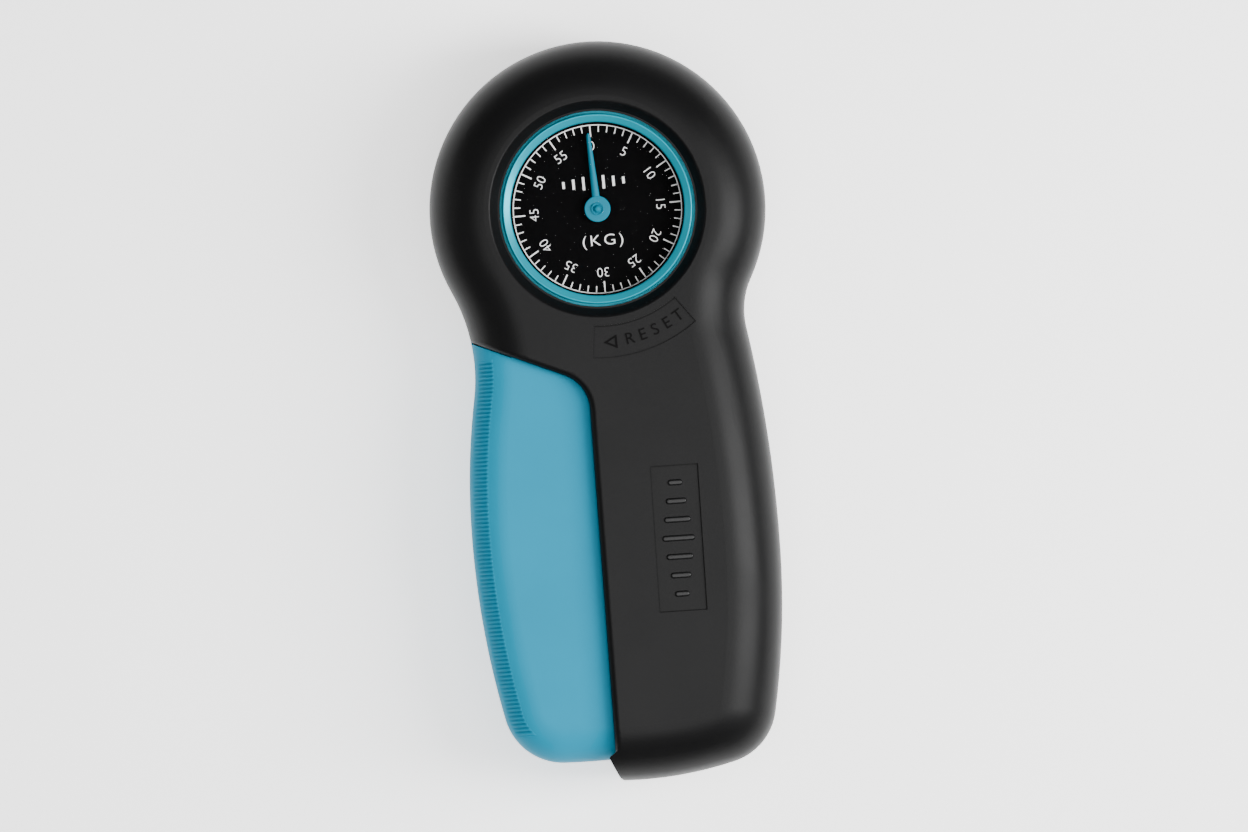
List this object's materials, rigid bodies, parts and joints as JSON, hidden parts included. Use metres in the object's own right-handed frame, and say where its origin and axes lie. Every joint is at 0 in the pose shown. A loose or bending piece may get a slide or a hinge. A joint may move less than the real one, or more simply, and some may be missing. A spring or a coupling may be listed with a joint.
{
  "type": "hand dynamometer",
  "caption": "Mechanical hand dynamometer: round dial in a rounded black body with a sprung squeeze handle, sector-and-pinion movement and turning reset bezel.",
  "frame": {"origin": "on the dial's axis, in the plane of the flat back that the instrument lies on", "axes": "+Z out of the dial's face, +Y from the grip towards the round head, +X towards the palm side; at rest the handle is released and the pointer is at zero"},
  "size_m": [0.0672, 0.1479, 0.034],
  "materials": {
    "shell_black": "fine satin moulding texture",
    "handle_blue": "satin",
    "rib_blue": "soft, finely ribbed across the grip",
    "bezel_blue": "satin gloss",
    "lens_clear": "clear polished",
    "dial_black": "matt black with a white printed scale",
    "pointer_blue": "satin paint",
    "cap_blue": "satin paint",
    "carrier_grey": "moulded",
    "ring_black": "gloss",
    "steel": "bright zinc plating",
    "spring_steel": "oiled spring wire",
    "brass": "fine brushed",
    "rubber_black": "matt"
  },
  "bodies": {
    "housing": {"front_shell": "shell_black", "rear_shell": "shell_black", "shell_screws": "steel", "dial_carrier": "carrier_grey", "carrier_screws": "steel", "dial_plate": "dial_black", "movement_front_plate": "brass", "movement_rear_plate": "brass", "movement_pillars": "brass", "movement_screws": "steel", "pivot_pin": "steel", "pivot_washers": "steel", "pivot_spacer": "steel", "body_spring_seats": "steel", "stop_pad": "rubber_black", "upper_load_spring": "spring_steel", "lower_load_spring": "spring_steel", "hairspring": "spring_steel", "hairspring_stud": "steel", "ratchet_pawl": "steel"},
    "handle": {"grip_front_cover": "handle_blue", "grip_rear_cover": "handle_blue", "finger_rib_strip": "rib_blue", "grip_screws": "steel", "lever_frame": "steel", "pivot_bush": "brass", "drive_pin": "steel", "handle_spring_seats": "steel"},
    "sector": {"sector_gear": "brass", "sector_arbor": "steel"},
    "pointer": {"centre_pinion": "brass", "pointer_arbor": "steel", "ratchet_wheel": "steel", "hold_washer": "brass", "hairspring_collet": "brass", "pointer": "pointer_blue", "pointer_cap": "cap_blue"},
    "bezel": {"bezel_ring": "bezel_blue", "lens": "lens_clear", "lens_retaining_ring": "ring_black"}
  },
  "joints": [
    {"name": "handle_squeeze", "type": "hinge", "parent": "housing", "child": "handle", "pos_m": [-0.018, -0.02, 0.017], "axis": [0, 0, 1], "range_deg": [0, 5.8], "stiffness_Nm_per_rad": 250, "deforming": ["upper_load_spring", "lower_load_spring"]},
    {"name": "sector_swing", "type": "hinge", "parent": "housing", "child": "sector", "pos_m": [0, -0.0216, 0.017], "axis": [0, 0, 1], "range_deg": [0, 31.4]},
    {"name": "pointer_turn", "type": "hinge", "parent": "housing", "child": "pointer", "pos_m": [0, 0, 0.0275], "axis": [0, 0, -1], "range_deg": [0, 345], "deforming": ["hairspring"]},
    {"name": "bezel_turn", "type": "hinge", "parent": "housing", "child": "bezel", "pos_m": [0, 0, 0.03], "axis": [0, 0, -1], "continuous": true}
  ],
  "couplings": [
    {"joint": "sector_swing", "follows": "handle_squeeze", "ratio": 5.3982},
    {"joint": "pointer_turn", "follows": "handle_squeeze", "ratio": 59.38}
  ]
}
